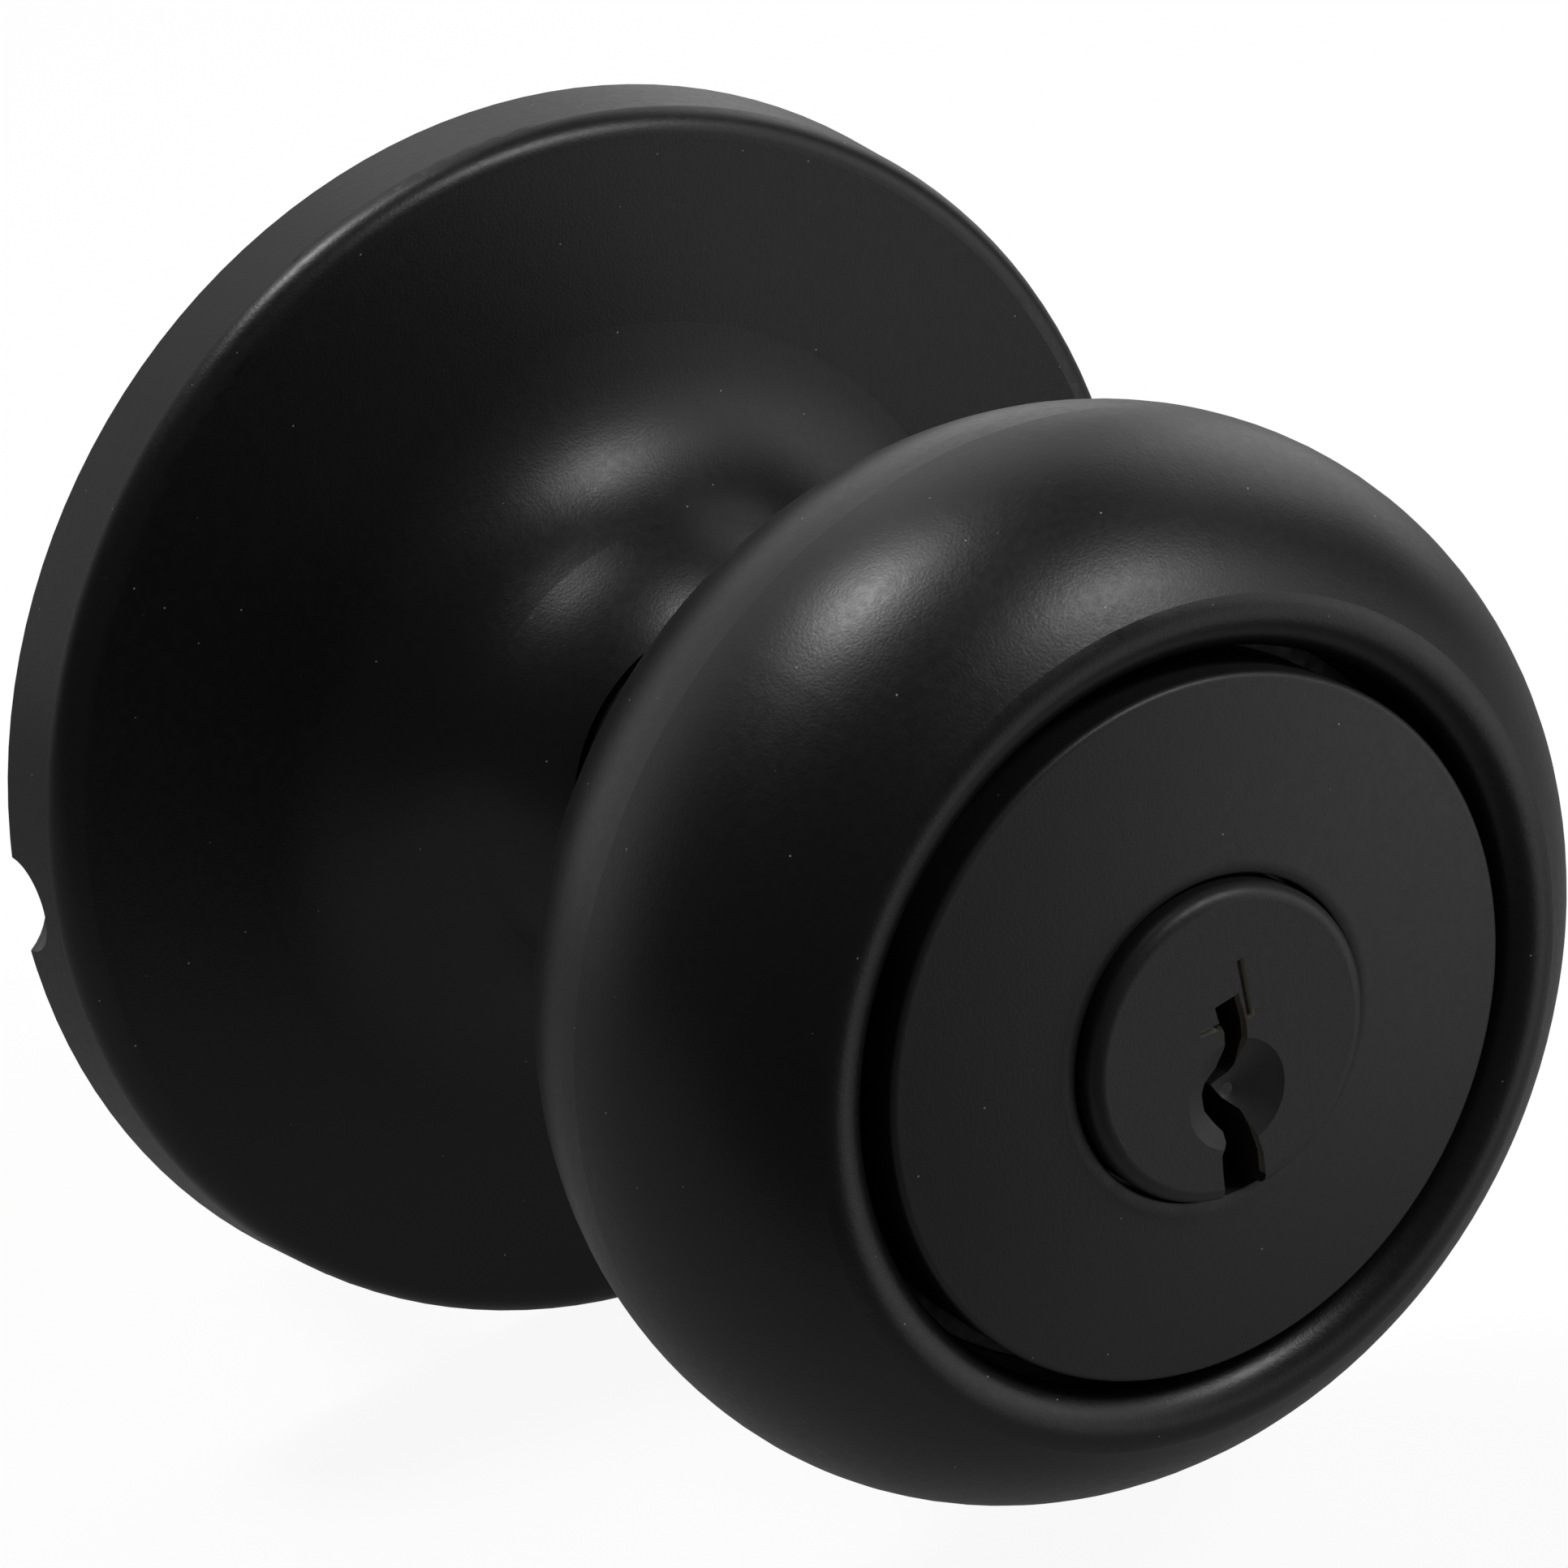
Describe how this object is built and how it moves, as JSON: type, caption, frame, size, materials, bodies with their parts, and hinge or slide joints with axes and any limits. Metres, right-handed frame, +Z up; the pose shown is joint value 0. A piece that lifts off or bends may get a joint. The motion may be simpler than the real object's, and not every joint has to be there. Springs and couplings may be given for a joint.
{
  "type": "keyed door knob",
  "caption": "Outside half of a keyed entry door knob: round rose with a domed neck, ball knob with a recessed face plate and key cylinder, drive spindle and screw posts.",
  "frame": {"origin": "centre of the rose's back rim, on the door's outside face", "axes": "-Y points out of the door along the knob's axis, +Z is up, +X is to the right seen from outside"},
  "size_m": [0.0667, 0.1103, 0.0668],
  "materials": {
    "black_finish": "matte black coating on sheet steel",
    "black_face": "matte black coating on turned brass",
    "zinc_plate": "zinc-plated sheet steel",
    "bright_steel": "plated steel, satin",
    "spring_steel": "spring steel, oiled",
    "cast_zinc": "die-cast zinc",
    "lock_brass": "drawn brass, machined",
    "bush_nylon": "natural nylon"
  },
  "bodies": {
    "rose": {"rose_cover": "black_finish", "mounting_plate": "zinc_plate", "left_screw_post": "bright_steel", "right_screw_post": "bright_steel", "bearing_bush": "bush_nylon", "spring_cage": "zinc_plate", "cage_screws": "bright_steel", "return_spring": "spring_steel"},
    "knob": {"knob_shell": "black_finish", "knob_insert": "cast_zinc", "face_plate": "black_face", "shank": "cast_zinc", "drive_plate": "zinc_plate", "drive_spindle": "bright_steel", "spindle_pins": "bright_steel", "thrust_washer": "zinc_plate", "snap_ring": "spring_steel", "cylinder_housing": "lock_brass", "driver_pins": "lock_brass", "pin_springs": "spring_steel", "tower_strip": "lock_brass"},
    "plug": {"plug": "black_face", "key_pins": "lock_brass", "plug_clip": "spring_steel", "tailpiece": "bright_steel"}
  },
  "joints": [
    {"name": "knob_turn", "type": "hinge", "parent": "rose", "child": "knob", "pos_m": [0, 0, 0], "axis": [0, 1, 0], "range_deg": [-65, 65], "stiffness_Nm_per_rad": 0.35, "deforming": ["return_spring"]},
    {"name": "plug_turn", "type": "hinge", "parent": "knob", "child": "plug", "pos_m": [0, -0.05, 0], "axis": [0, 1, 0], "range_deg": [-90, 90]}
  ]
}
